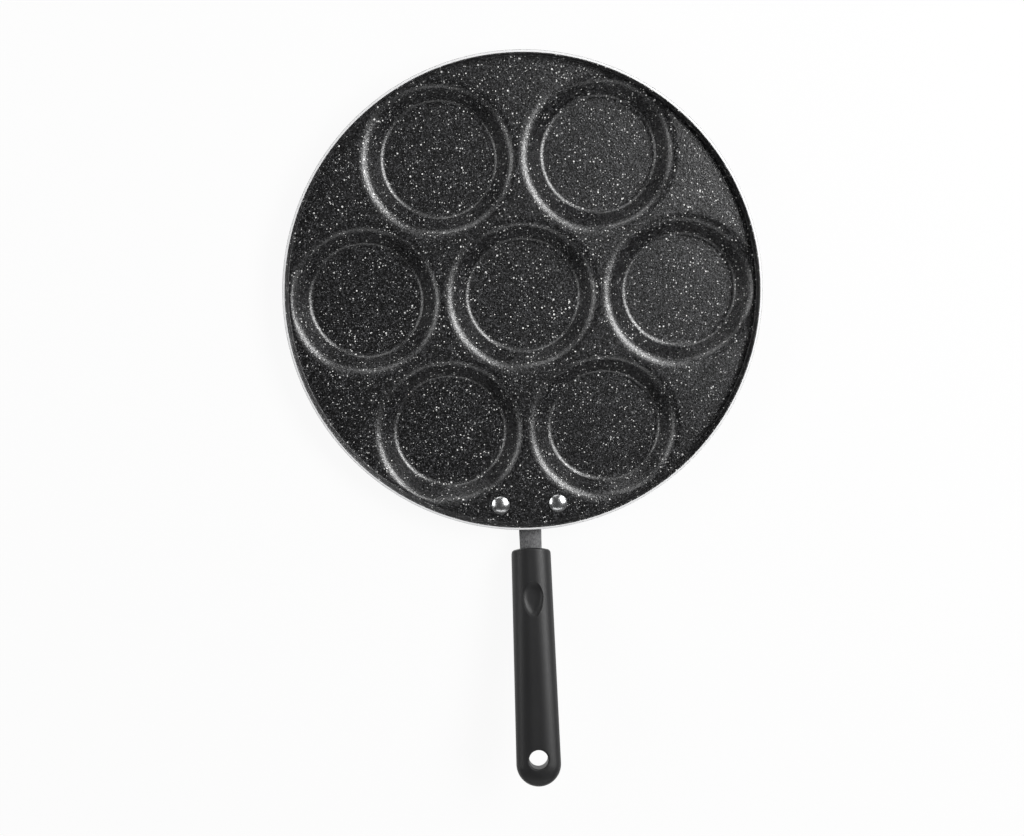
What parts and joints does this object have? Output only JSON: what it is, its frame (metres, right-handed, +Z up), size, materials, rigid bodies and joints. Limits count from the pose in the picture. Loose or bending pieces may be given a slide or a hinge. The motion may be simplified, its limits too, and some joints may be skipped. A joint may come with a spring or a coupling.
{
  "type": "multi-section egg pan",
  "caption": "Round shallow egg pan with round wells pressed into a flat floor, a low bare rim, and a riveted bracket carrying a rising moulded grip with thumb dimple and hanging hole.",
  "frame": {"origin": "centre of the pan on the plane that the undersides of the wells rest on", "axes": "+Z up out of the pan, -Y out along the handle, +X to the right seen from above with the handle pointing at the viewer"},
  "size_m": [0.24, 0.3703, 0.0435],
  "materials": {
    "speckled_nonstick": "satin",
    "bracket_steel": "satin",
    "rivet_aluminium": "polished",
    "black_bakelite": "satin",
    "zinc_steel": "satin",
    "spring_steel": "satin"
  },
  "bodies": {
    "root": {"pan_body": "speckled_nonstick", "handle_bracket": "bracket_steel", "rivet_left": "rivet_aluminium", "rivet_right": "rivet_aluminium", "handle_grip": "black_bakelite", "handle_screw": "zinc_steel", "spring_washer": "spring_steel", "square_nut": "zinc_steel"}
  },
  "joints": []
}
